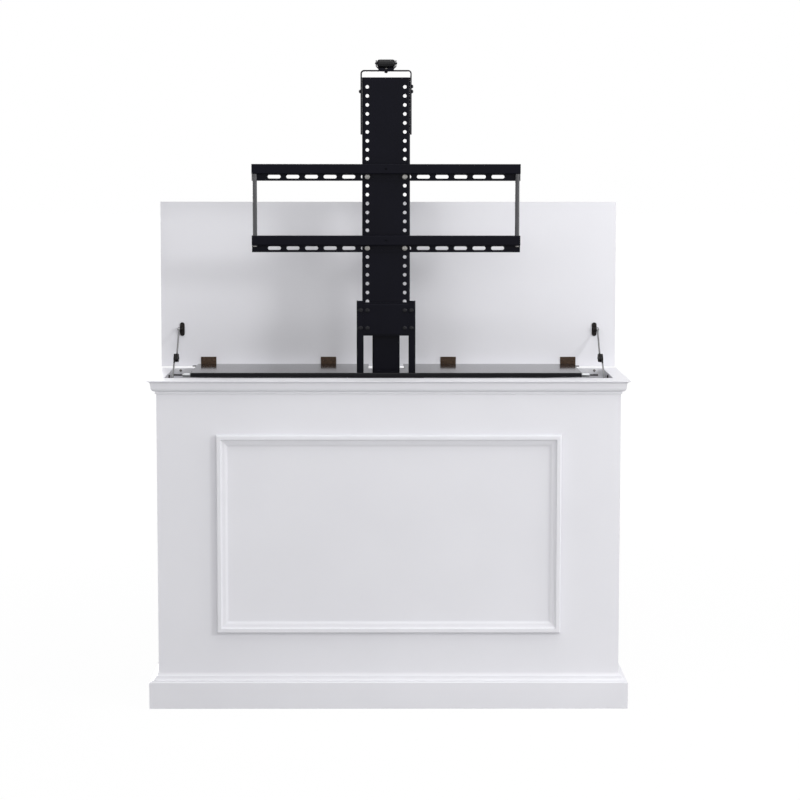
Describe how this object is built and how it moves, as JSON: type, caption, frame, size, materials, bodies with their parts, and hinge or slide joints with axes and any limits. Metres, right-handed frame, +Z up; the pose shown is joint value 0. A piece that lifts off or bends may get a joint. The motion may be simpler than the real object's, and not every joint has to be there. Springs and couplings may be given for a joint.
{
  "type": "tv lift cabinet",
  "caption": "White panelled cabinet with a hinged lid on folding stays and a raised telescopic lift carrying a drilled post, slotted screen bars and a gloss shelf.",
  "frame": {"origin": "middle of the footprint, on the floor", "axes": "+X to the right seen from the front, +Y from the panelled front to the back, +Z up"},
  "size_m": [1.33, 0.5148, 1.797],
  "materials": {
    "white_paint": "satin white paint on board",
    "black_coat": "satin black powder coat",
    "black_gloss": "high gloss black lacquer",
    "zinc": "zinc plated",
    "dark_zinc": "black zinc plated",
    "hinge_bronze": "dark antique bronze plating",
    "stay_steel": "grey steel arms with blackened knuckle blocks",
    "stay_plate": "blackened steel",
    "gear_steel": "machined steel",
    "polished_rod": "dark polished steel",
    "cast_alloy": "as-cast alloy",
    "motor_paint": "black enamel",
    "black_plastic": "moulded black plastic",
    "guide_plastic": "natural acetal",
    "belt_rubber": "reinforced rubber belt",
    "roller_rubber": "soft black roller"
  },
  "bodies": {
    "cabinet": {"front_panel": "white_paint", "side_panel_left": "white_paint", "side_panel_right": "white_paint", "back_panel": "white_paint", "access_panel": "white_paint", "bottom_board": "white_paint", "front_top_rail": "white_paint", "hinge_rail": "white_paint", "corner_battens": "white_paint", "crown_front": "white_paint", "crown_sides": "white_paint", "base_front": "white_paint", "base_sides": "white_paint", "front_frame_strips": "white_paint", "glides": "black_plastic", "hinge_leaves_fixed": "hinge_bronze", "hinge_pins": "hinge_bronze", "stay_wall_plates": "stay_plate", "lift_base_plate": "black_coat", "outer_column": "black_coat", "outer_guide": "guide_plastic", "base_bolts": "zinc", "column_bracket": "black_coat", "gearbox": "cast_alloy", "drive_motor": "motor_paint", "belt_anchor": "zinc", "control_box": "black_plastic"},
    "lid": {"lid_panel": "white_paint", "hinge_leaves_lid": "hinge_bronze", "stay_lid_plates": "stay_plate"},
    "stay_arm_upper_left": {"stay_upper_left": "stay_steel"},
    "stay_arm_upper_right": {"stay_upper_right": "stay_steel"},
    "stay_arm_lower_left": {"stay_lower_left": "stay_steel"},
    "stay_arm_lower_right": {"stay_lower_right": "stay_steel"},
    "middle_stage": {"middle_column": "black_coat", "middle_top_guide": "guide_plastic", "middle_foot_guide": "guide_plastic", "drive_rack": "gear_steel", "lift_belt": "belt_rubber"},
    "carriage": {"inner_column": "black_coat", "inner_foot_guide": "guide_plastic", "post_spacer": "black_coat", "post_plate": "black_coat", "carriage_plate": "black_coat", "cover_plate": "black_coat", "cover_screws": "dark_zinc", "shelf_hangers": "black_coat", "shelf_board": "black_gloss", "shelf_plate": "black_coat", "mount_bar_top": "black_coat", "mount_bar_bottom": "black_coat", "end_rods": "polished_rod", "mount_bolts": "zinc", "pusher_strap": "black_coat", "pusher_fork": "black_coat"},
    "pinion": {"drive_pinion": "gear_steel"},
    "pulley_top": {"belt_pulley_top": "guide_plastic"},
    "pulley_bottom": {"belt_pulley_bottom": "guide_plastic"},
    "roller": {"pusher_roller": "roller_rubber"}
  },
  "joints": [
    {"name": "lid_hinge", "type": "hinge", "parent": "cabinet", "child": "lid", "pos_m": [0, 0.22549, 0.915], "axis": [-1, 0, 0], "range_deg": [-20, 0]},
    {"name": "stay_lid_pivot_left", "type": "hinge", "parent": "lid", "child": "stay_arm_upper_left", "pos_m": [-0.6095, 0.22003, 1.02675], "axis": [1, 0, 0], "range_deg": [0, 13]},
    {"name": "stay_wall_pivot_left", "type": "hinge", "parent": "cabinet", "child": "stay_arm_lower_left", "pos_m": [-0.6153, 0.02259, 0.887], "axis": [1, 0, 0], "range_deg": [-28, 0]},
    {"name": "stay_lid_pivot_right", "type": "hinge", "parent": "lid", "child": "stay_arm_upper_right", "pos_m": [0.6095, 0.22003, 1.02675], "axis": [1, 0, 0], "range_deg": [0, 13]},
    {"name": "stay_wall_pivot_right", "type": "hinge", "parent": "cabinet", "child": "stay_arm_lower_right", "pos_m": [0.6153, 0.02259, 0.887], "axis": [1, 0, 0], "range_deg": [-28, 0]},
    {"name": "middle_slide", "type": "slide", "parent": "cabinet", "child": "middle_stage", "axis": [0, 0, 1], "range_m": [-0.44, 0]},
    {"name": "inner_slide", "type": "slide", "parent": "middle_stage", "child": "carriage", "axis": [0, 0, 1], "range_m": [-0.44, 0]},
    {"name": "pinion_spin", "type": "hinge", "parent": "cabinet", "child": "pinion", "pos_m": [0.013, 0.11459, 0.74], "axis": [1, 0, 0], "range_deg": [0, 1402]},
    {"name": "pulley_top_spin", "type": "hinge", "parent": "middle_stage", "child": "pulley_top", "pos_m": [-0.025, 0.07159, 1.218], "axis": [1, 0, 0], "range_deg": [0, 3152]},
    {"name": "pulley_bottom_spin", "type": "hinge", "parent": "middle_stage", "child": "pulley_bottom", "pos_m": [-0.025, 0.07159, 0.515], "axis": [1, 0, 0], "range_deg": [0, 3152]},
    {"name": "roller_spin", "type": "hinge", "parent": "carriage", "child": "roller", "pos_m": [-0.007, 0.00459, 1.786], "axis": [1, 0, 0], "continuous": true}
  ],
  "couplings": [
    {"joint": "stay_lid_pivot_left", "follows": "lid_hinge", "ratio": -0.61789},
    {"joint": "stay_wall_pivot_left", "follows": "lid_hinge", "ratio": 1.3376},
    {"joint": "stay_lid_pivot_right", "follows": "lid_hinge", "ratio": -0.61789},
    {"joint": "stay_wall_pivot_right", "follows": "lid_hinge", "ratio": 1.3376},
    {"joint": "inner_slide", "follows": "middle_slide", "ratio": 1},
    {"joint": "pinion_spin", "follows": "middle_slide", "rad_per_m": -55.556},
    {"joint": "pulley_top_spin", "follows": "middle_slide", "rad_per_m": -125},
    {"joint": "pulley_bottom_spin", "follows": "middle_slide", "rad_per_m": -125}
  ]
}
